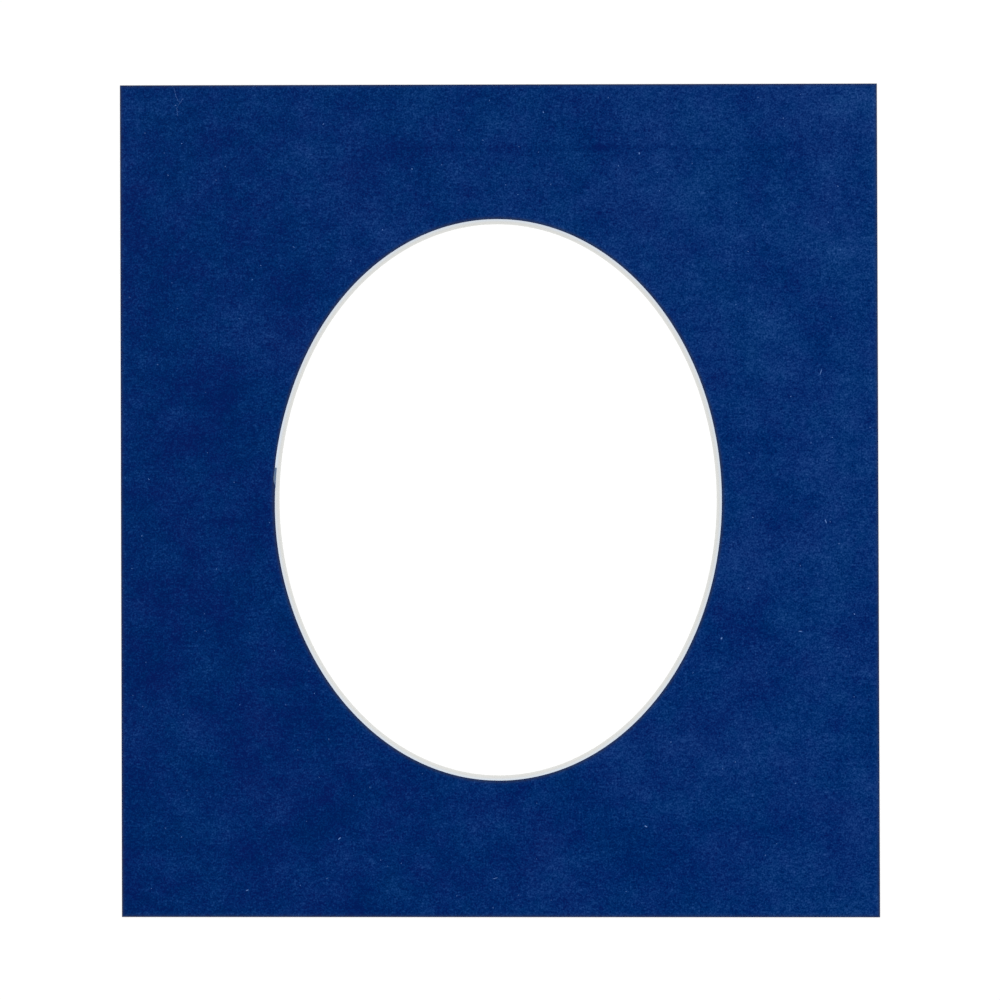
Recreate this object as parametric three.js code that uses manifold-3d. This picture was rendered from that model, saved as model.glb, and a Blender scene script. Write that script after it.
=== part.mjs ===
// Oval picture mount: a sheet of mount board with a bevel-cut oval window.
// The board is a laminate that is trimmed and cut as one. A white core carries a thin blue facing
// with a suede nap, and a slanted blade has gone through both, so that the white core shows as a
// narrow sloping border round the window. The sheet lies on its back, face up: +Z out of the
// facing, +Y towards its top edge, +X to the right as it is looked at. The origin is the middle
// of the sheet on its back face. Units are millimetres and degrees.

import * as THREE from 'three';
import { mergeVertices, toCreasedNormals } from 'three/addons/utils/BufferGeometryUtils.js';
import Module from 'manifold-3d';

// The trimmed sheet. It was trimmed by hand, so two of its edges run out of square.
const SHEET_WIDTH = 200;
const SHEET_HEIGHT = 220;
const RIGHT_EDGE_RUNOUT = 0.3; // how far the right edge leans in at its top end
const BOTTOM_EDGE_RUNOUT = 0.6; // how far the bottom edge rises at its left end

// The two layers of the board.
const CORE_THICKNESS = 1.4;
const FACING_THICKNESS = 0.3;

// The window, measured at the back of the board, where it is narrowest.
const WINDOW_WIDTH = 115.5;
const WINDOW_HEIGHT = 145.6;
const WINDOW_SHIFT_X = -0.5; // from the middle of the sheet
const WINDOW_SHIFT_Y = 0.4;
const WINDOW_TURN = 0.35; // anticlockwise, as it is looked at
const BLADE_ANGLE = 45; // from upright, so that the window widens towards the facing

// Where the cutter's round begins and ends, its two paths miss each other in the facing.
const CUT_START = 173; // round the window, anticlockwise from +X
const CUT_MISS = 0.4; // the step between the two paths
const CUT_MISS_FADE = 22; // how far along each path the step dies away

// The number of straight steps that stand for the oval.
const OVAL_STEPS = 240;
const CREASE_ANGLE = 30; // faces that meet at less than this are shaded as one surface

const FACING_COLOUR = 0x082a67;
const CORE_COLOUR = 0xe4e3dc;

const wasm = await Module();
wasm.setup();

/** A closed three.js geometry as a solid that can be cut. */
function solidFrom(geometry) {
  const bare = geometry.clone();
  bare.deleteAttribute('normal');
  bare.deleteAttribute('uv');
  const merged = mergeVertices(bare);
  return new wasm.Manifold(new wasm.Mesh({
    numProp: 3,
    vertProperties: merged.attributes.position.array,
    triVerts: new Uint32Array(merged.index.array),
  }));
}

/** A cut solid as a three.js geometry. */
function geometryFrom(solid) {
  const cut = solid.getMesh();
  const geometry = new THREE.BufferGeometry();
  geometry.setAttribute('position', new THREE.BufferAttribute(cut.vertProperties, 3));
  geometry.setIndex(new THREE.BufferAttribute(cut.triVerts, 1));
  return toCreasedNormals(geometry, THREE.MathUtils.degToRad(CREASE_ANGLE));
}

/** The trimmed outline of the sheet, with its two edges out of square. */
function sheetOutline() {
  const x = SHEET_WIDTH / 2;
  const y = SHEET_HEIGHT / 2;
  const outline = new THREE.Shape();
  outline.moveTo(-x, -y + BOTTOM_EDGE_RUNOUT);
  outline.lineTo(x, -y);
  outline.lineTo(x - RIGHT_EDGE_RUNOUT, y);
  outline.lineTo(-x, y);
  return outline;
}

/** One layer of the sheet before the window is cut, from its lower face to its upper one. */
function blankLayer(low, thickness) {
  const blank = new THREE.ExtrudeGeometry(sheetOutline(), { depth: thickness, bevelEnabled: false });
  return blank.translate(0, 0, low);
}

/** How far the blade strays outwards, at a distance along its path from the place it begins at. */
function strayAt(distance, pathLength, miss) {
  const before = pathLength - distance;
  const fade = (gap) => 1 - THREE.MathUtils.smoothstep(gap, 0, CUT_MISS_FADE);
  return (fade(before) - fade(distance)) * miss / 2;
}

/** The window's outline: an oval at the board's back, grown outwards by `growth`, with the two
 * ends of the cutter's path missing each other by `miss`. */
function windowOutline(growth, miss) {
  const halfWidth = WINDOW_WIDTH / 2;
  const halfHeight = WINDOW_HEIGHT / 2;
  const oval = new THREE.EllipseCurve(0, 0, halfWidth, halfHeight);
  const start = THREE.MathUtils.degToRad(CUT_START);
  const pathLength = oval.getLength();
  const middle = new THREE.Vector2(WINDOW_SHIFT_X, WINDOW_SHIFT_Y);
  const turn = THREE.MathUtils.degToRad(WINDOW_TURN);
  const points = [];
  let walked = 0;
  let last = null;
  for (let step = 0; step <= OVAL_STEPS; step += 1) {
    const angle = start + (2 * Math.PI * step) / OVAL_STEPS;
    const point = new THREE.Vector2(halfWidth * Math.cos(angle), halfHeight * Math.sin(angle));
    if (last) walked += point.distanceTo(last);
    last = point.clone();
    const outward = new THREE.Vector2(Math.cos(angle) / halfWidth, Math.sin(angle) / halfHeight);
    outward.normalize();
    const stray = strayAt(walked, pathLength, miss);
    point.addScaledVector(outward, growth + stray);
    points.push(point.rotateAround(new THREE.Vector2(), turn).add(middle));
  }
  if (miss === 0) points.pop();
  return new THREE.Shape(points);
}

/** What the slanted blade takes away from one layer. The cutter runs on past both its faces. */
function bladeCutter(low, thickness, miss) {
  const slope = Math.tan(THREE.MathUtils.degToRad(BLADE_ANGLE));
  const margin = thickness;
  const rise = thickness + 2 * margin;
  const cutter = new THREE.ExtrudeGeometry(windowOutline(low * slope, miss), {
    depth: margin,
    bevelEnabled: true,
    bevelSegments: 1,
    bevelThickness: rise,
    bevelSize: rise * slope,
    bevelOffset: -margin * slope,
  });
  return cutter.translate(0, 0, low - margin + rise);
}

/** One layer of the board, with the window cut through it. */
function boardLayer(name, low, thickness, miss, material) {
  const blank = solidFrom(blankLayer(low, thickness));
  const cutter = solidFrom(bladeCutter(low, thickness, miss));
  const layer = new THREE.Mesh(geometryFrom(blank.subtract(cutter)), material);
  layer.name = name;
  return layer;
}

/** The white core, which carries the board and shows at the sloping border. */
function coreBoard() {
  const whiteCore = new THREE.MeshStandardMaterial({
    color: CORE_COLOUR,
    roughness: 0.9,
    metalness: 0,
  });
  return boardLayer('core_board', 0, CORE_THICKNESS, 0, whiteCore);
}

/** The blue suede facing, bonded to the front of the core. */
function suedeFacing() {
  const blueSuede = new THREE.MeshStandardMaterial({
    color: FACING_COLOUR,
    roughness: 0.95,
    metalness: 0,
  });
  return boardLayer('suede_facing', CORE_THICKNESS, FACING_THICKNESS, CUT_MISS, blueSuede);
}

const mount = new THREE.Group();
mount.name = 'oval_picture_mount';
mount.add(coreBoard(), suedeFacing());

export default mount;
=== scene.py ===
"""Looks of an oval picture mount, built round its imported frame.

The mount is one loose sheet of board that lies on its back. A white core carries a thin blue
suede facing, and an oval window has been cut through both with a slanted blade. Everything is in
metres in the frame's own axes: +Z out of the suede, +Y towards the sheet's top edge.
"""

import math
import random

import bmesh
import bpy
import numpy as np
from mathutils import Matrix, Vector, noise


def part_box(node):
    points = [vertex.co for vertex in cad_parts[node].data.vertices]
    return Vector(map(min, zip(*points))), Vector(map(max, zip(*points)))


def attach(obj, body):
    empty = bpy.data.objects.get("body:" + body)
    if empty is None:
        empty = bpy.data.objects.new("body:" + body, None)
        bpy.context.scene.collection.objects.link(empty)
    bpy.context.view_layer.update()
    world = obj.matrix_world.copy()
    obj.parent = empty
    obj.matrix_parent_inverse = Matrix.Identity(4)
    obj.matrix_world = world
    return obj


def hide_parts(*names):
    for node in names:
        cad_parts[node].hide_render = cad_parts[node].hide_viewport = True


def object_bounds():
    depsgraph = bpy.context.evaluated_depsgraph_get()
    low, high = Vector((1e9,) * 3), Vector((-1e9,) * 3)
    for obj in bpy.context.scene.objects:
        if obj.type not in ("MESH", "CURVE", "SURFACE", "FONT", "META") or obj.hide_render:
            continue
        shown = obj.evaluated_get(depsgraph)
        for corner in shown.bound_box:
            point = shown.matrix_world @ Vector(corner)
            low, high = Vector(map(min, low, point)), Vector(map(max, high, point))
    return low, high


bl_info = {
    "name": "Oval Picture Mount",
    "version": (1, 0, 0),
    "blender": (4, 5, 0),
    "location": "3D View > Sidebar > Mount",
    "description": "Builds a suede-faced picture mount with a bevel-cut oval window",
    "category": "Object",
}

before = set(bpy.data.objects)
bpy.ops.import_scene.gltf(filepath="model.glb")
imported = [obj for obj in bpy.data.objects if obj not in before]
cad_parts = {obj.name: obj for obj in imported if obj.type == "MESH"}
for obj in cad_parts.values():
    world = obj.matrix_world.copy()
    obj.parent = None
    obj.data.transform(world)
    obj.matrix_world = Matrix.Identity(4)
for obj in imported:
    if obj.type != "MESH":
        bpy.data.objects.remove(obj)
CAD_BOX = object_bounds()

MM = 0.001
HAIR = 0.01 * MM  # a place that is nearer to a face than this lies on it
CORE_NODE = "core_board"
FACING_NODE = "suede_facing"
CORE_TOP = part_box(CORE_NODE)[1].z
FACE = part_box(FACING_NODE)[1].z

# Marks that handling has left in the nap, as soft ovals in millimetres from the sheet's middle:
# across, up, half length, half width, turn in degrees, and how many steps of sRGB they lighten.
NAP_MARKS = (
    (-90, 56, 4, 12, 0, -5),
    (-53, 58, 8, 6, 0, -5),
    (-70, 33, 6, 9, 0, -5),
    (-72, 8, 7, 22, 4, -4),
    (-68, -10, 9, 5, 0, -5),
    (-28, 93, 9, 4, 0, -5),
    (-37, 86, 5, 4, 0, -4),
    (-41, -77, 11, 7, 0, -5),
    (-53, -57, 6, 4, 0, -4),
    (-69, -65, 4, 11, 0, -4),
    (-93, -44, 5, 4, 0, -4),
    (-45, -86, 12, 4, 0, -3),
    (22, -90, 24, 6, 0, -3),
    (62, -34, 14, 9, 0, -4),
    (80, -52, 14, 7, 0, -3),
    (-88, 105, 14, 4, 0, 5),
    (88, 103, 12, 6, 0, 5),
    (93, 66, 7, 4, 0, 7),
    (70, 46, 6, 4, 0, 6),
    (-87, 23, 4, 3, 0, 6),
    (64, -16, 7, 6, 0, 6),
    (-29, 70, 5, 3, 0, 6),
    (-94, -57, 6, 9, 0, 5),
    (-88, -95, 9, 3, 0, 5),
    (-34, -97, 16, 2, 0, 4),
    (88, 12, 6, 12, 0, 4),
    (94, -107, 10, 4, 0, 5),
    (22, 78, 7, 4, 0, 4),
)

# The nap's unevenness, by the size of its patches: breadth in millimetres, how far they are
# stretched across the sheet and squeezed up it, octaves of finer detail, how far they swirl, and
# steps of sRGB to either side. A single fibre, 0.02 mm thick, is too fine to show, so the finest
# grain stands for tufts of them.
NAP_GRAINS = (
    (28.0, 1.1, 4.0, 0.0, 24.0),
    (0.9, 1.2, 0.0, 0.6, 12.0),
    (0.42, 1.0, 0.0, 0.6, 24.0),
)

# The steps of sRGB at which the nap's ramp of colours begins and ends.
NAP_DARKEST = -16
NAP_PALEST = 48

# Painted light: the nap is drawn lighter towards the right and the top of the whole sheet. In
# steps of sRGB: for each millimetre across, for each millimetre up, and at the middle.
NAP_PAINTED_LIGHT_SLOPE = (0.047, 0.015, -1.8)

# How far the nap rises and falls: the breadth of its swells and tufts in millimetres, and their
# share of its relief.
NAP_SWELLS = ((9.0, 0.6), (3.1, 0.36), (1.3, 0.3))

# The nap beside a cut edge, with distances from the edge in millimetres. It is drawn darker and
# greyer at the edge, by a share that fades away. Further in is a paler line: its steps of sRGB,
# place and breadth.
CUT_DARKENING = 0.6
CUT_DARKENING_REACH = 0.42
PALE_LINE = (3, 0.7, 0.5)

# Leans of the nap's colour, as linear light that is added: what they follow, from no lean, to the
# whole of it, and the colour. The patches are noise, and the slope is metres along SLOPE_WAY.
SLOPE_WAY = (0.83, -0.56, 0.0)
NAP_LEANS = (
    ("patches", 0.45, 0.75, (0.0030, 0.0004, 0.003, 1.0)),
    ("patches", 0.55, 0.25, (0.0, 0.006, 0.002, 1.0)),
    ("slope", 0.13, -0.13, (0.0008, 0.0012, 0.0, 1.0)),
    ("slope", -0.13, 0.13, (0.0, 0.0, 0.0030, 1.0)),
)

# Creases pressed into the nap, drawn as painted shade along their lines: from (across, up) to
# (across, up) and half width in millimetres, and steps of sRGB. They fade away over a sixth of
# their length at each end.
NAP_CREASE_SHADES = (
    ((-40, 93.4), (90, 93.0), 0.9, -4),
    ((19, 93.2), (53, 93.1), 1.2, -5),
    ((-98, -5), (-66, -5), 0.5, -4),
    ((-98, -51), (-68, -51), 0.5, -4),
    ((-88, 69), (-88, 50), 0.5, -4),
)

# The bits of lint that stand out: across, up, length and breadth in millimetres, and their turn
# in degrees.
LINT = (
    (58.4, -36.3, 0.6, 0.44, 60),
    (38.3, -85.9, 0.8, 0.34, 155),
    (37.0, 91.8, 0.6, 0.34, 95),
    (-42.6, -88.9, 0.9, 0.30, 45),
    (86.0, -5.5, 1.1, 0.26, 110),
    (79.2, -34.5, 1.0, 0.22, 0),
    (-23.0, 87.8, 0.4, 0.32, 0),
    (11.7, 102.7, 0.5, 0.30, 110),
    (84.8, 34.0, 1.7, 0.16, 70),
    (-67.0, -102.5, 0.8, 0.24, 20),
    (-1.5, -99.5, 1.5, 0.14, 15),
    (93.5, -30.0, 0.5, 0.24, 135),
)

# The finer specks, which fall at random: how many, and the seed of their places. Then, in
# millimetres, how far across and up from the middle they reach, how far they stay from the
# window, and the least and the greatest length and breadth.
SPECKS = 110
SPECK_SEED = 7
SPECK_SPREAD = (98, 108)
SPECK_CLEARANCE = 1.0
SPECK_LENGTHS = (0.2, 0.5)
SPECK_BREADTHS = (0.1, 0.17)

# The thread that lies in the nap by the top edge, and a loose end that forks from it: across and
# up, in millimetres.
THREAD = ((-85.8, 109.3), (-85.2, 106.9), (-84.3, 105.3), (-85.1, 104.1), (-84.8, 101.9))
THREAD_END = ((-83.4, 106.6), (-84.3, 105.3))
THREAD_RADIUS = 0.021 * MM
THREAD_SIDES = 8

# The shaved sliver: how thick it is, how far it stands off the facing's cut face, and how far it
# reaches over that face's lower edge.
SLIVER_THICKNESS = 0.12 * MM
SLIVER_LIFT = 0.07 * MM
SLIVER_LAP = 0.06 * MM

# Rings of vertices: down the window's cut, down the trimmed edges, and in the nap at these
# distances from a cut edge, besides the one that it rolls down from.
CUT_RINGS = 6
TRIM_RINGS = 4
RIM_GAPS = (0.35 * MM, 0.6 * MM, 1.1 * MM)
CREASE = math.radians(40)  # an edge that folds further than this stays sharp

LAMP_PLACE = Vector((0.0, 0.1, 1.2))
LAMP_BREADTH = 1.0
SENSOR_WIDTH = 36  # in millimetres, as Blender's cameras give it
FLOOR_REACH = 3.0
FLOOR_DROP = 0.02 * MM  # keeps the floor and the sheet's back from sharing one plane


def linear(hex_colour):
    """An sRGB hex colour as the linear colour that Blender's sockets hold."""
    channels = [int(hex_colour[place:place + 2], 16) / 255 for place in (1, 3, 5)]
    return tuple(c / 12.92 if c <= 0.04045 else ((c + 0.055) / 1.055) ** 2.4 for c in channels)


def opaque(hex_colour):
    """The same colour with full alpha."""
    return (*linear(hex_colour), 1.0)


def add(tree, kind, inputs=None, stops=(), output=None, **settings):
    """Adds a node and gives its output. An input takes a value, or an output to be linked from.

    The first two stops of a ramp move its own two, and each further one is new."""
    node = tree.nodes.new(kind)
    for name, value in settings.items():
        setattr(node, name, value)
    for name, value in (inputs or {}).items():
        socket = node.inputs[name] if isinstance(name, int) else next(
            s for s in node.inputs if s.enabled and s.name == name)
        if isinstance(value, bpy.types.NodeSocket):
            tree.links.new(value, socket)
        else:
            socket.default_value = value
    for place, (at, colour) in enumerate(stops):
        ramp = node.color_ramp.elements
        stop = ramp[place] if place < 2 else ramp.new(at)
        stop.position = at
        stop.color = colour
    return next((s for s in node.outputs if s.enabled and output in (None, s.name)), None)


def new_material(name):
    """An empty material with nodes. Gives the material and its node tree."""
    material = bpy.data.materials.new(name)
    material.use_nodes = True
    material.node_tree.nodes.clear()
    return material, material.node_tree


def window_at_back():
    """The oval that the core's window makes at the back: middle, half width, half height, turn.

    It is the ellipse that fits the window's corners there best, worked out in millimetres."""
    limit = CAD_BOX[1].x * 0.8  # the trimmed corners all lie further out
    corners = [
        v.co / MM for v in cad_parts[CORE_NODE].data.vertices
        if v.co.z < HAIR and abs(v.co.x) < limit and abs(v.co.y) < limit
    ]
    terms = np.array([(c.x ** 2, c.x * c.y, c.y ** 2, c.x, c.y) for c in corners])
    xx, xy, yy, x, y = np.linalg.lstsq(terms, np.ones(len(corners)), rcond=None)[0]
    middle = np.linalg.solve([[2 * xx, xy], [xy, 2 * yy]], [-x, -y])
    size = 1 + xx * middle[0] ** 2 + xy * middle[0] * middle[1] + yy * middle[1] ** 2
    turn = math.atan2(xy, xx - yy) / 2
    cos, sin = math.cos(turn), math.sin(turn)
    across = xx * cos ** 2 + xy * sin * cos + yy * sin ** 2
    upright = xx * sin ** 2 - xy * sin * cos + yy * cos ** 2
    half_sizes = [math.sqrt(size / share) * MM for share in (across, upright)]
    return Vector((*middle, 0)) * MM, *half_sizes, turn


WINDOW_MIDDLE, WINDOW_HALF_WIDTH, WINDOW_HALF_HEIGHT, WINDOW_TURN = window_at_back()


def sheet_corner(side_x, side_y):
    """A corner of the trimmed sheet, seen from the face: -1 is left or bottom, 1 right or top."""
    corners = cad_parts[CORE_NODE].data.vertices
    corner = max(corners, key=lambda v: v.co.x * side_x + v.co.y * side_y)
    return Vector((corner.co.x, corner.co.y, 0))


SHEET_CORNERS = [sheet_corner(*sides) for sides in ((1, 1), (-1, 1), (-1, -1), (1, -1))]


class MountSizes(bpy.types.PropertyGroup):
    """Sizes of the dressed sheet that aren't in the frame."""

    window_width: bpy.props.FloatProperty(
        name="Window width", description="Width of the window at the back of the board",
        default=2 * WINDOW_HALF_WIDTH, unit="LENGTH",
    )
    window_height: bpy.props.FloatProperty(
        name="Window height", description="Height of the window at the back of the board",
        default=2 * WINDOW_HALF_HEIGHT, unit="LENGTH",
    )
    cut_start: bpy.props.FloatProperty(
        name="Cut start", description="Where round the window the cutter's path begins and ends",
        default=math.radians(173.0), subtype="ANGLE",
    )
    cut_miss: bpy.props.FloatProperty(
        name="Cut miss", description="How far the two ends of the cutter's path miss each other",
        default=0.4 * MM, unit="LENGTH",
    )
    cut_fade: bpy.props.FloatProperty(
        name="Cut fade", description="How far along the path that miss dies away",
        default=22 * MM, unit="LENGTH",
    )
    sliver_length: bpy.props.FloatProperty(
        name="Sliver length", description="Length of the shaved sliver where the paths miss",
        default=5.5 * MM, unit="LENGTH",
    )
    sliver_breadth: bpy.props.FloatProperty(
        name="Sliver breadth", description="Breadth of the shaved sliver at its upper end",
        default=0.5 * MM, unit="LENGTH",
    )
    edge_softness: bpy.props.FloatProperty(
        name="Edge softness", description="Breadth over which the nap rolls down to a cut edge",
        default=0.07 * MM, unit="LENGTH",
    )
    nap_overhang: bpy.props.FloatProperty(
        name="Nap overhang", description="How far the nap's fibres splay out past a cut edge",
        default=0.08 * MM, unit="LENGTH",
    )
    nap_relief: bpy.props.FloatProperty(
        name="Nap relief", description="How far the nap rises and falls across the sheet",
        default=0.03 * MM, unit="LENGTH",
    )
    nap_rings: bpy.props.IntProperty(
        name="Nap rings", description="Rings of faces between the window and the trimmed edges",
        default=76, min=4,
    )
    steps_round: bpy.props.IntProperty(
        name="Steps round", description="Faces round the window, a multiple of eight",
        default=720, min=48, step=8,
    )


def colour_property(name, description, hex_colour):
    """A colour that a user can change, with its sRGB default."""
    return bpy.props.FloatVectorProperty(
        name=name, description=description, default=linear(hex_colour), subtype="COLOR", size=3,
        min=0, max=1,
    )


class MountColours(bpy.types.PropertyGroup):
    """Colours of the sheet's surfaces."""

    nap_deep: colour_property("Nap, deep", "The nap where it lies open and dark", "#001A58")
    nap: colour_property("Nap", "The nap as most of it looks", "#012A69")
    nap_pale: colour_property("Nap, pale", "The nap where it is brushed flat", "#173E7D")
    nap_tip: colour_property("Nap, tips", "The palest grains of the nap", "#3F66A5")
    nap_at_cut: colour_property("Nap, worn", "The nap beside a cut edge", "#2F384A")
    core_front: colour_property("Core, front", "The ply under the facing", "#E1EEFE")
    core_middle: colour_property("Core, middle", "The inner plies", "#E5E6E4")
    core_back: colour_property("Core, back", "The ply at the back", "#EDEDE9")
    shaved: colour_property("Shaved facing", "Where the blade has shaved the nap", "#6B7C90")
    lint: colour_property("Lint", "Bits of fibre that lie in the nap", "#739FE2")


class MountStudio(bpy.types.PropertyGroup):
    """The camera and the light."""

    view_width: bpy.props.FloatProperty(
        name="View width", description="Breadth of the picture at the sheet's face",
        default=264 * MM, unit="LENGTH",
    )
    camera_height: bpy.props.FloatProperty(
        name="Camera height", description="Height of the camera above the sheet's face",
        default=2.0, unit="LENGTH",
    )
    camera_up: bpy.props.FloatProperty(
        name="Camera up", description="How far up from the sheet's middle the camera looks",
        default=0.36 * MM, unit="LENGTH",
    )
    camera_roll: bpy.props.FloatProperty(
        name="Camera roll", description="Clockwise turn of the camera as it looks down",
        default=math.radians(0.145), subtype="ANGLE",
    )
    sky: bpy.props.FloatProperty(
        name="Sky", description="Strength of the even light from all round", default=0.55, min=0,
    )
    lamp: bpy.props.FloatProperty(
        name="Lamp", description="Power of the soft lamp overhead, in watts", default=7.2, min=0,
    )


def smooth(share):
    """Eases a share of the way from 0 to 1."""
    share = min(max(share, 0), 1)
    return share * share * (3 - 2 * share)


def window_place(sizes, angle, growth, height):
    """A place round the window's edge, grown outwards from its size at the back."""
    half_width = sizes.window_width / 2
    half_height = sizes.window_height / 2
    outward = Vector((math.cos(angle) / half_width, math.sin(angle) / half_height, 0))
    place = Vector((half_width * math.cos(angle), half_height * math.sin(angle), 0))
    place = Matrix.Rotation(WINDOW_TURN, 3, "Z") @ (place + outward.normalized() * growth)
    place += WINDOW_MIDDLE
    place.z = height
    return place


def window_places(sizes, growth, height, stray=0.0):
    """Places all round the window's edge. `stray` is the share of the cutter's miss that shows."""
    places = []
    for step in range(sizes.steps_round):
        angle = 2 * math.pi * step / sizes.steps_round
        after = (angle - sizes.cut_start) % (2 * math.pi) * sizes.window_height / 2
        before = math.pi * sizes.window_height - after
        miss = smooth(1 - before / sizes.cut_fade) - smooth(1 - after / sizes.cut_fade)
        grown = growth + stray * miss * sizes.cut_miss / 2
        places.append(window_place(sizes, angle, grown, height))
    return places


def trimmed_places(sizes, inset, height):
    """Places along the trimmed outline, across from those round the window."""
    quarter = sizes.steps_round // 4
    places = []
    for step in range(sizes.steps_round):
        side, along = divmod((step - quarter // 2) % sizes.steps_round, quarter)
        start, end = SHEET_CORNERS[side], SHEET_CORNERS[(side + 1) % 4]
        place = start.lerp(end, along / quarter)
        place.x *= 1 - inset / abs(start.x)
        place.y *= 1 - inset / abs(start.y)
        place.z = height
        places.append(place)
    return places


def trim_gap(point):
    """How far a point lies inside the nearest trimmed edge."""
    gaps = []
    for side in range(4):
        start, end = SHEET_CORNERS[side], SHEET_CORNERS[(side + 1) % 4]
        along = (end - start).normalized()
        gaps.append(along.x * (point.y - start.y) - along.y * (point.x - start.x))
    return min(gaps)


def window_gap(sizes, point):
    """How far a point lies outside the window, as the facing's edge goes round it."""
    half_width = sizes.window_width / 2 + FACE
    half_height = sizes.window_height / 2 + FACE
    place = Matrix.Rotation(-WINDOW_TURN, 3, "Z") @ (point - WINDOW_MIDDLE)
    reach = math.hypot(place.x / half_width, place.y / half_height)
    slope = math.hypot(place.x / half_width ** 2, place.y / half_height ** 2) / reach
    return (reach - 1) / slope


def first_ring(bm, places):
    """Starts a mesh with one closed ring of vertices."""
    ring = bmesh.ops.create_circle(bm, cap_ends=False, segments=len(places), radius=1)["verts"]
    ring.sort(key=lambda v: math.atan2(v.co.y, v.co.x) % (2 * math.pi))
    for vertex, place in zip(ring, places):
        vertex.co = place
    return ring


def ring_edges(bm, ring):
    """The edges of a ring, in order."""
    return [bm.edges.get((ring[step - 1], vertex)) for step, vertex in enumerate(ring)]


def next_ring(bm, ring, places):
    """Extrudes a ring of vertices into the next one, and puts each new vertex in its place."""
    made = bmesh.ops.extrude_edge_only(bm, edges=ring_edges(bm, ring))["geom"]
    fresh = {item for item in made if isinstance(item, bmesh.types.BMVert)}
    following = []
    for vertex, place in zip(ring, places):
        partner = next(e.other_vert(vertex) for e in vertex.link_edges
                       if e.other_vert(vertex) in fresh)
        partner.co = place
        following.append(partner)
    return following


def rings_across(bm, ring, start, end, count):
    """Extrudes a ring in even steps from one row of places to another."""
    for turn in range(1, count + 1):
        ring = next_ring(bm, ring, [a.lerp(b, turn / count) for a, b in zip(start, end)])
    return ring


def close_section(bm, first, last):
    """Bridges the first and last rings, so that the sheet is closed all round."""
    bmesh.ops.bridge_loops(bm, edges=ring_edges(bm, first) + ring_edges(bm, last))
    bmesh.ops.recalc_face_normals(bm, faces=bm.faces)


def finish_piece(bm, name, material, node=None):
    """Makes a piece of a mesh. It rides on the sheet, and may stand for a node of the frame."""
    mesh = bpy.data.meshes.new(name)
    for face in bm.faces:
        face.smooth = True
    for edge in bm.edges:
        edge.smooth = len(edge.link_faces) == 2 and edge.calc_face_angle() < CREASE
    bm.to_mesh(mesh)
    bm.free()
    piece = bpy.data.objects.new(name, mesh)
    bpy.context.scene.collection.objects.link(piece)
    mesh.materials.append(material)
    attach(piece, "root")
    if node:
        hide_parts(node)
    return piece


def pulp_core(colours):
    """Bleached wood-pulp board, laid up in plies and cut with a blade: a matt, chalky white with
    faint fibres. It is whitest and coolest under the facing, greyer in the middle and warm at the
    back."""
    material, tree = new_material("bleached pulp board, blade cut")
    place = add(tree, "ShaderNodeTexCoord", output="Object")
    height = add(tree, "ShaderNodeSeparateXYZ", {"Vector": place}, output="Z")
    share = add(tree, "ShaderNodeMapRange", {
        "Value": height, "From Min": 0.0, "From Max": CORE_TOP})
    # The colour changes with height: warm white at the back, greyer in the middle, bluish white
    # under the facing.
    plies = add(tree, "ShaderNodeValToRGB", {"Fac": share}, stops=(
        (0.0, (*colours.core_back, 1)),
        (1.0, (*colours.core_front, 1)),
        (0.45, (*colours.core_middle, 1)),
    ))
    # Pulp fibres are about 2 mm long and 0.03 mm thick, and show in clumps of about 0.6 mm.
    fibre_place = add(tree, "ShaderNodeMapping", {"Vector": place, "Scale": (1, 1, 4)})
    fibres = add(tree, "ShaderNodeTexNoise", {
        "Vector": fibre_place, "Scale": 1 / (0.6 * MM), "Detail": 4.0, "Roughness": 0.7})
    tone = add(tree, "ShaderNodeMapRange", {
        "Value": fibres, "From Min": 0.25, "From Max": 0.75, "To Min": 0.96, "To Max": 1.02})
    colour = add(tree, "ShaderNodeMix", {"Factor": 1.0, "A": plies, "B": tone},
                 data_type="RGBA", blend_type="MULTIPLY")
    bump = add(tree, "ShaderNodeBump", {
        "Height": fibres, "Strength": 0.35, "Distance": 0.03 * MM})
    board = add(tree, "ShaderNodeBsdfPrincipled", {
        "Base Color": colour, "Roughness": 0.9, "Specular IOR Level": 0.2, "Normal": bump})
    add(tree, "ShaderNodeOutputMaterial", {"Surface": board})
    return material


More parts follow.
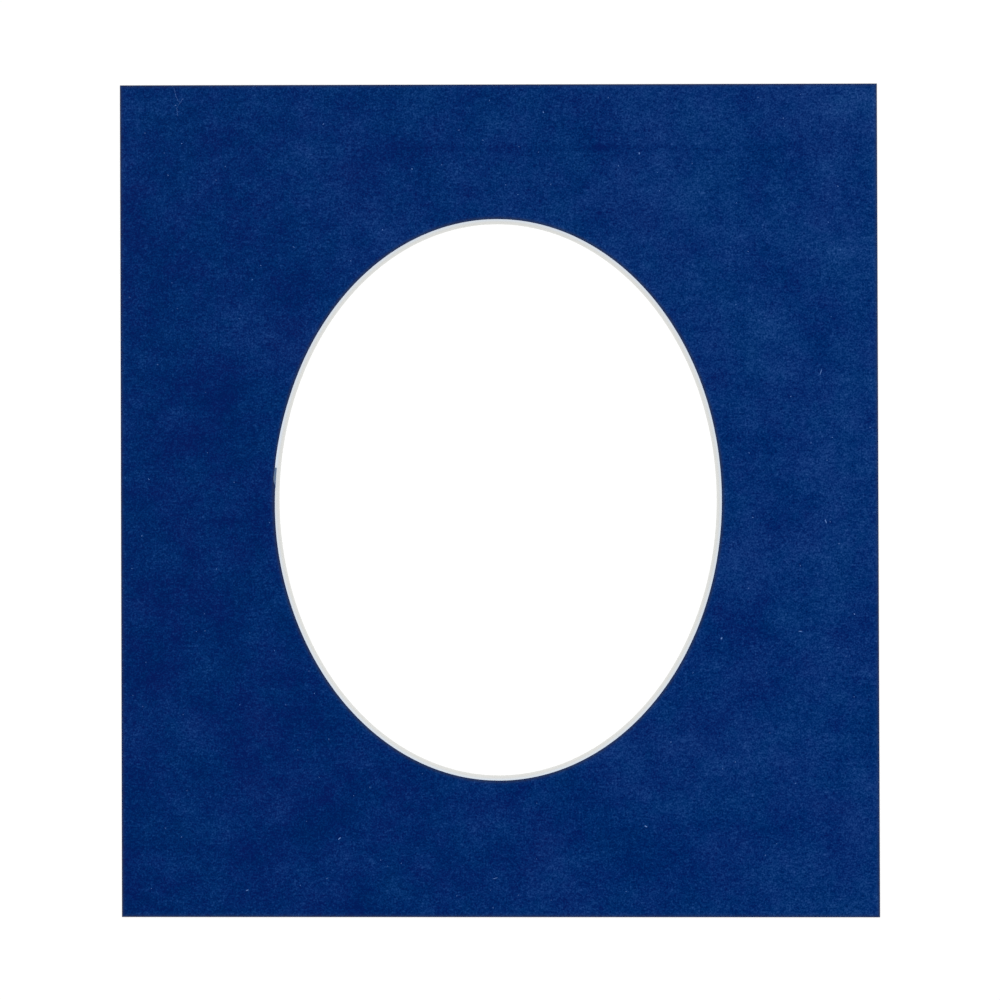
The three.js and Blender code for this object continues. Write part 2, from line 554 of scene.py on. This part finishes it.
def flocked_suede(colours):
    """Flocked suede paper: short rayon fibres set on end in blue adhesive. Matt and deep, with
    paler grains where fibre tips catch the light, and clouds where the nap has been brushed."""
    material, tree = new_material("flocked suede paper, royal blue")
    place = add(tree, "ShaderNodeTexCoord", output="Object")
    # The nap's marks, with the painted light across the sheet and the painted shade of its
    # creases.
    steps = add(tree, "ShaderNodeAttribute", attribute_name="nap_lay_and_light", output="Fac")
    finest = None
    for breadth, stretch, detail, swirl, reach in NAP_GRAINS:
        spread = add(tree, "ShaderNodeMapping", {
            "Vector": place, "Scale": (1 / stretch, stretch, 1)})
        finest = add(tree, "ShaderNodeTexNoise", {
            "Vector": spread, "Scale": 1 / (breadth * MM), "Detail": detail, "Roughness": 1.0,
            "Distortion": swirl})
        swing = add(tree, "ShaderNodeMapRange", {
            "Value": finest, "To Min": -reach, "To Max": reach})
        steps = add(tree, "ShaderNodeMath", {0: steps, 1: swing}, operation="ADD")
    share = add(tree, "ShaderNodeMapRange", {
        "Value": steps, "From Min": NAP_DARKEST, "From Max": NAP_PALEST})
    nap = add(tree, "ShaderNodeValToRGB", {"Fac": share}, stops=(
        (0.0, (*colours.nap_deep, 1)),
        (1.0, (*colours.nap_tip, 1)),
        (0.25, (*colours.nap, 1)),
        (0.53, (*colours.nap_pale, 1)),
    ))
    # The dye leans to violet in some patches and to teal in others, 3 to 24 mm across. Over the
    # whole sheet the colour goes from a warmer navy at the top left to a purer blue at the bottom
    # right.
    follows = {
        "patches": add(tree, "ShaderNodeTexNoise", {
            "Vector": place, "Scale": 1 / (24 * MM), "Detail": 5.0, "Roughness": 0.8}),
        "slope": add(tree, "ShaderNodeVectorMath", {0: place, 1: SLOPE_WAY}, output="Value",
                     operation="DOT_PRODUCT"),
    }
    for source, low, high, cast in NAP_LEANS:
        lean = add(tree, "ShaderNodeMapRange", {
            "Value": follows[source], "From Min": low, "From Max": high})
        nap = add(tree, "ShaderNodeMix", {"Factor": lean, "A": nap, "B": cast},
                  data_type="RGBA", blend_type="ADD")
    # The nap is drawn darker and greyer right at each cut edge.
    cut_darkening = add(tree, "ShaderNodeAttribute", attribute_name="nap_cut_darkening", output="Fac")
    nap = add(tree, "ShaderNodeMix", {"Factor": cut_darkening, "A": nap, "B": (*colours.nap_at_cut, 1)},
              data_type="RGBA")
    bump = add(tree, "ShaderNodeBump", {
        "Height": finest, "Strength": 0.5, "Distance": 0.05 * MM})
    suede = add(tree, "ShaderNodeBsdfPrincipled", {
        "Base Color": nap, "Roughness": 0.95, "Specular IOR Level": 0.0, "Normal": bump,
        "Sheen Weight": 0.2, "Sheen Roughness": 0.4,
        "Sheen Tint": opaque("#1F4FB5")})
    add(tree, "ShaderNodeOutputMaterial", {"Surface": suede})
    return material


def shaved_facing(colours):
    """Facing paper whose nap the blade has shaved off: a dull, patchy grey-blue."""
    material, tree = new_material("facing paper, nap shaved off")
    place = add(tree, "ShaderNodeTexCoord", output="Object")
    # What is left of the nap shows in flecks of about 0.5 mm.
    grain = add(tree, "ShaderNodeTexNoise", {
        "Vector": place, "Scale": 1 / (0.5 * MM), "Detail": 2.0, "Roughness": 0.6})
    tone = add(tree, "ShaderNodeValToRGB", {"Fac": grain}, stops=(
        (0.2, (*colours.nap_tip, 1)),
        (0.6, (*colours.shaved, 1)),
    ))
    paper = add(tree, "ShaderNodeBsdfPrincipled", {
        "Base Color": tone, "Roughness": 0.9, "Specular IOR Level": 0.1})
    add(tree, "ShaderNodeOutputMaterial", {"Surface": paper})
    return material


def stray_fibre(colours):
    """Cotton and rayon lint from the workshop: dull fluff, a paler blue than the nap."""
    material, tree = new_material("cotton lint")
    place = add(tree, "ShaderNodeTexCoord", output="Object")
    # The tone changes over 3 mm, so that each bit has a tone of its own.
    grain = add(tree, "ShaderNodeTexNoise", {"Vector": place, "Scale": 1 / (3 * MM)})
    tone = add(tree, "ShaderNodeMix", {
        "Factor": grain, "A": (*colours.nap_tip, 1), "B": (*colours.lint, 1)}, data_type="RGBA")
    fluff = add(tree, "ShaderNodeBsdfPrincipled", {
        "Base Color": tone, "Roughness": 0.9, "Specular IOR Level": 0.1})
    add(tree, "ShaderNodeOutputMaterial", {"Surface": fluff})
    return material


def nap_height(sizes, point):
    """How far the nap stands above or below its usual height at a point."""
    return sizes.nap_relief * sum(
        share * noise.noise(point / (breadth * MM)) for breadth, share in NAP_SWELLS)


def nap_lay_and_light(point):
    """How many steps of sRGB the nap looks lighter at a point: from the way it lies and its marks,
    with painted light across the sheet and painted shade in its creases.
    """
    across, up = point.x / MM, point.y / MM
    # Painted light: the sheet is drawn lighter towards the right and the top.
    each_across, each_up, at_middle = NAP_PAINTED_LIGHT_SLOPE
    steps = each_across * across + each_up * up + at_middle
    for mark_x, mark_y, half_length, half_width, turn, lift in NAP_MARKS:
        place = Matrix.Rotation(-math.radians(turn), 2) @ Vector((across - mark_x, up - mark_y))
        reach = (place.x / half_length) ** 2 + (place.y / half_width) ** 2
        steps += lift * math.exp(-reach)
    # Painted shade along each crease.
    for start, end, half_width, lift in NAP_CREASE_SHADES:
        start, run = Vector(start), Vector(end) - Vector(start)
        gap = Vector((across, up)) - start
        along = gap.dot(run) / run.length_squared
        aside = (gap - run * along).length / half_width
        ends = smooth(min(along, 1 - along) * 6)
        steps += lift * ends * math.exp(-aside * aside)
    return steps


def cut_gap(sizes, point):
    """How far a point of the nap lies from the nearest cut edge, in millimetres.

    At the window that is counted from halfway down the facing's cut face. Fibres that hang over
    an edge lie at less than 0."""
    halfway = (FACE - CORE_TOP) / 2
    return min(trim_gap(point), window_gap(sizes, point) + halfway) / MM


class MOUNT_OT_core(bpy.types.Operator):
    """Builds the white core, with its slanted cut and its trimmed edges"""

    bl_idname = "mount.core"
    bl_label = "White core"

    def execute(self, context):
        sizes = context.scene.mount_sizes
        window_back = window_places(sizes, 0, 0)
        window_front = window_places(sizes, CORE_TOP, CORE_TOP)
        trim_front = trimmed_places(sizes, 0, CORE_TOP)
        trim_back = trimmed_places(sizes, 0, 0)
        bm = bmesh.new()
        first = first_ring(bm, window_back)
        ring = rings_across(bm, first, window_back, window_front, CUT_RINGS)
        ring = next_ring(bm, ring, trim_front)
        ring = rings_across(bm, ring, trim_front, trim_back, TRIM_RINGS)
        close_section(bm, first, ring)
        finish_piece(bm, "white_core", pulp_core(context.scene.mount_colours),
                     CORE_NODE)
        return {"FINISHED"}


class MOUNT_OT_facing(bpy.types.Operator):
    """Builds the blue suede facing, with its uneven nap, its marks and its rolled edges"""

    bl_idname = "mount.facing"
    bl_label = "Suede facing"

    def execute(self, context):
        sizes = context.scene.mount_sizes
        soft = sizes.edge_softness
        splay = sizes.nap_overhang
        bm = bmesh.new()
        first = first_ring(bm, window_places(sizes, CORE_TOP - splay, CORE_TOP, 1))
        ring = next_ring(bm, first, window_places(
            sizes, FACE - soft / 2 - splay, FACE - soft / 2, 1))
        rims = [gap - splay for gap in (soft, *RIM_GAPS)]
        for gap in rims:
            ring = next_ring(bm, ring, window_places(sizes, FACE + gap, FACE, 1))
        ring = rings_across(bm, ring, window_places(sizes, FACE + rims[-1], FACE, 1),
                            trimmed_places(sizes, rims[-1], FACE), sizes.nap_rings)
        for gap in rims[-2::-1]:
            ring = next_ring(bm, ring, trimmed_places(sizes, gap, FACE))
        ring = next_ring(bm, ring, trimmed_places(sizes, -splay, FACE - soft))
        ring = next_ring(bm, ring, trimmed_places(sizes, 0, CORE_TOP))
        close_section(bm, first, ring)
        # The nap's marks, with the painted light across the sheet and the painted shade of its
        # creases.
        lay = bm.verts.layers.float.new("nap_lay_and_light")
        cut_darkening = bm.verts.layers.float.new("nap_cut_darkening")
        lift, middle, breadth = PALE_LINE
        for vertex in bm.verts:
            if vertex.co.z > FACE - HAIR:
                vertex.co.z += nap_height(sizes, vertex.co)
            gap = cut_gap(sizes, vertex.co)
            vertex[lay] = nap_lay_and_light(vertex.co) + lift * math.exp(-((gap - middle) / breadth) ** 2)
            # Darker, greyer nap right at each cut edge.
            vertex[cut_darkening] = CUT_DARKENING * math.exp(-(gap / CUT_DARKENING_REACH) ** 2)
        finish_piece(bm, "suede_nap", flocked_suede(context.scene.mount_colours),
                     FACING_NODE)
        return {"FINISHED"}


class MOUNT_OT_sliver(bpy.types.Operator):
    """Lays the sliver of facing whose nap the blade shaved off where its two paths miss"""

    bl_idname = "mount.sliver"
    bl_label = "Shaved sliver"

    def execute(self, context):
        sizes = context.scene.mount_sizes
        bm = bmesh.new()
        grid = bmesh.ops.create_grid(bm, x_segments=24, y_segments=3, size=0.5)["verts"]
        for vertex in grid:
            along, aside = vertex.co.x + 0.5, vertex.co.y + 0.5
            angle = sizes.cut_start + along * sizes.sliver_length / (sizes.window_height / 2)
            breadth = sizes.sliver_breadth * (1 + 0.5 * along) * smooth((1 - along) / 0.5)
            lip = CORE_TOP - sizes.cut_miss / 2 - sizes.nap_overhang
            reach = lip - SLIVER_LAP + aside * breadth
            height = min(FACE, CORE_TOP + reach - lip) + SLIVER_LIFT
            vertex.co = window_place(sizes, angle, reach, height)
        bmesh.ops.solidify(bm, geom=bm.faces[:], thickness=SLIVER_THICKNESS)
        bmesh.ops.recalc_face_normals(bm, faces=bm.faces)
        finish_piece(bm, "shaved_sliver",
                     shaved_facing(context.scene.mount_colours))
        return {"FINISHED"}


def lay_speck(bm, across, up, length, breadth, turn):
    """Lays one bit of lint in the nap, with its sizes in metres.

    It is half as high as it is broad, and lies with its lowest part in the nap."""
    made = bmesh.ops.create_icosphere(bm, subdivisions=2, radius=0.5)["verts"]
    shape = Matrix.Diagonal((length, breadth, breadth / 2, 1))
    place = Matrix.Translation((across, up, FACE + 0.2 * breadth))
    bmesh.ops.transform(bm, matrix=place @ Matrix.Rotation(turn, 4, "Z") @ shape, verts=made)


def lay_thread(bm, points, radius):
    """Lays a round thread in the nap along points across and up the sheet, in millimetres.

    A quarter of it is sunk in the nap."""
    path = [Vector((across * MM, up * MM, FACE + 0.5 * radius)) for across, up in points]
    ring = None
    for step, point in enumerate(path):
        way = path[min(step + 1, len(path) - 1)] - path[max(step - 1, 0)]
        facing = Matrix.Translation(point) @ way.to_track_quat("Z", "Y").to_matrix().to_4x4()
        around = [facing @ Vector((radius * math.cos(a), radius * math.sin(a), 0))
                  for a in (2 * math.pi * side / THREAD_SIDES for side in range(THREAD_SIDES))]
        ring = next_ring(bm, ring, around) if ring else first_ring(bm, around)
    ends = [edge for edge in bm.edges if edge.is_boundary]
    bmesh.ops.holes_fill(bm, edges=ends, sides=0)


class MOUNT_OT_lint(bpy.types.Operator):
    """Scatters the bits of lint and the thread that lie in the nap"""

    bl_idname = "mount.lint"
    bl_label = "Lint and thread"

    def execute(self, context):
        sizes = context.scene.mount_sizes
        chance = random.Random(SPECK_SEED)
        bm = bmesh.new()
        for points in (THREAD, THREAD_END):
            lay_thread(bm, points, THREAD_RADIUS)
        for across, up, length, breadth, turn in LINT:
            lay_speck(bm, across * MM, up * MM, length * MM, breadth * MM, math.radians(turn))
        left = SPECKS
        while left:
            across, up = [chance.uniform(-spread, spread) for spread in SPECK_SPREAD]
            spot = Vector((across, up, 0)) * MM
            if window_gap(sizes, spot) < SPECK_CLEARANCE * MM:
                continue
            length = chance.uniform(*SPECK_LENGTHS) * MM
            breadth = chance.uniform(*SPECK_BREADTHS) * MM
            lay_speck(bm, spot.x, spot.y, length, breadth, chance.uniform(0, math.pi))
            left -= 1
        bmesh.ops.recalc_face_normals(bm, faces=bm.faces)
        finish_piece(bm, "lint", stray_fibre(context.scene.mount_colours))
        return {"FINISHED"}


class MOUNT_OT_stage(bpy.types.Operator):
    """Lays the pale floor, and sets the light and the camera"""

    bl_idname = "mount.stage"
    bl_label = "Stage"

    def execute(self, context):
        scene = context.scene
        studio = scene.mount_studio
        scene.view_settings.view_transform = "Standard"
        world = bpy.data.worlds.new("even white room")
        world.use_nodes = True
        world.node_tree.nodes.clear()
        add_room(world.node_tree, studio.sky)
        scene.world = world
        bm = bmesh.new()
        bmesh.ops.create_grid(bm, x_segments=8, y_segments=8, size=FLOOR_REACH)
        mesh = bpy.data.meshes.new("floor")
        bm.to_mesh(mesh)
        bm.free()
        floor = bpy.data.objects.new("floor", mesh)
        floor.location.z = -FLOOR_DROP
        scene.collection.objects.link(floor)
        mesh.materials.append(white_floor())
        lamp = bpy.data.lights.new("soft lamp", "AREA")
        lamp.shape = "DISK"
        lamp.size = LAMP_BREADTH
        lamp.energy = studio.lamp
        lamp_object = bpy.data.objects.new("soft lamp", lamp)
        lamp_object.location = LAMP_PLACE
        lamp_object.rotation_euler = LAMP_PLACE.to_track_quat("Z", "Y").to_euler()
        scene.collection.objects.link(lamp_object)
        camera = bpy.data.cameras.new("camera")
        camera.sensor_width = SENSOR_WIDTH
        camera.lens = SENSOR_WIDTH * studio.camera_height / studio.view_width
        camera.clip_start = 0.01
        camera.clip_end = 20
        camera_object = bpy.data.objects.new("camera", camera)
        camera_object.location = (0, studio.camera_up, FACE + studio.camera_height)
        camera_object.rotation_euler = (0, 0, -studio.camera_roll)
        scene.collection.objects.link(camera_object)
        scene.camera = camera_object
        return {"FINISHED"}


def seen_directly(tree):
    """How far a ray is one that the eye follows: 1 for camera, mirror and glass rays."""
    seen = None
    for kind in ("Is Camera Ray", "Is Glossy Ray", "Is Transmission Ray"):
        ray = add(tree, "ShaderNodeLightPath", output=kind)
        seen = ray if seen is None else add(
            tree, "ShaderNodeMath", {0: seen, 1: ray}, operation="MAXIMUM")
    return seen


def add_room(tree, strength):
    """Even light from all round, which looks pure white where it is seen directly."""
    level = add(tree, "ShaderNodeMapRange", {"Value": seen_directly(tree), "To Min": strength,
                                             "To Max": 1.0})
    room = add(tree, "ShaderNodeBackground", {"Color": (1, 1, 1, 1), "Strength": level})
    add(tree, "ShaderNodeOutputWorld", {"Surface": room})


def white_floor():
    """Matt white laminate that is lit until it looks pure white, but keeps a faint shadow."""
    material, tree = new_material("matt white laminate floor")
    plain = add(tree, "ShaderNodeBsdfDiffuse", {"Color": opaque("#E7E7E7")})
    shaded = add(tree, "ShaderNodeBsdfDiffuse", {"Color": (0.25, 0.25, 0.25, 1)})
    glow = add(tree, "ShaderNodeEmission", {"Color": (1, 1, 1, 1), "Strength": 0.8})
    lit = add(tree, "ShaderNodeAddShader", {0: shaded, 1: glow})
    surface = add(tree, "ShaderNodeMixShader", {0: seen_directly(tree), 1: plain, 2: lit})
    add(tree, "ShaderNodeOutputMaterial", {"Surface": surface})
    return material


class MOUNT_PT_panel(bpy.types.Panel):
    """The mount's sizes, colours and steps"""

    bl_idname = "MOUNT_PT_panel"
    bl_label = "Oval Picture Mount"
    bl_space_type = "VIEW_3D"
    bl_region_type = "UI"
    bl_category = "Mount"

    def draw(self, context):
        layout = self.layout
        for group in (context.scene.mount_sizes, context.scene.mount_colours,
                      context.scene.mount_studio):
            box = layout.box()
            for name in group.bl_rna.properties.keys():
                if name not in {"rna_type", "name"}:
                    box.prop(group, name)
        for operator in OPERATORS:
            layout.operator(operator.bl_idname)


OPERATORS = (MOUNT_OT_core, MOUNT_OT_facing, MOUNT_OT_sliver, MOUNT_OT_lint, MOUNT_OT_stage)
CLASSES = (MountSizes, MountColours, MountStudio, *OPERATORS, MOUNT_PT_panel)


def register():
    """Adds the classes, and the settings that a user can change."""
    for cls in CLASSES:
        bpy.utils.register_class(cls)
    bpy.types.Scene.mount_sizes = bpy.props.PointerProperty(type=MountSizes)
    bpy.types.Scene.mount_colours = bpy.props.PointerProperty(type=MountColours)
    bpy.types.Scene.mount_studio = bpy.props.PointerProperty(type=MountStudio)


def unregister():
    """Takes the settings and the classes out again."""
    del bpy.types.Scene.mount_studio
    del bpy.types.Scene.mount_colours
    del bpy.types.Scene.mount_sizes
    for cls in reversed(CLASSES):
        bpy.utils.unregister_class(cls)


def main():
    """Builds the mount."""
    register()
    bpy.ops.mount.core()
    bpy.ops.mount.facing()
    bpy.ops.mount.sliver()
    bpy.ops.mount.lint()
    bpy.ops.mount.stage()


if __name__ == "__main__":
    main()
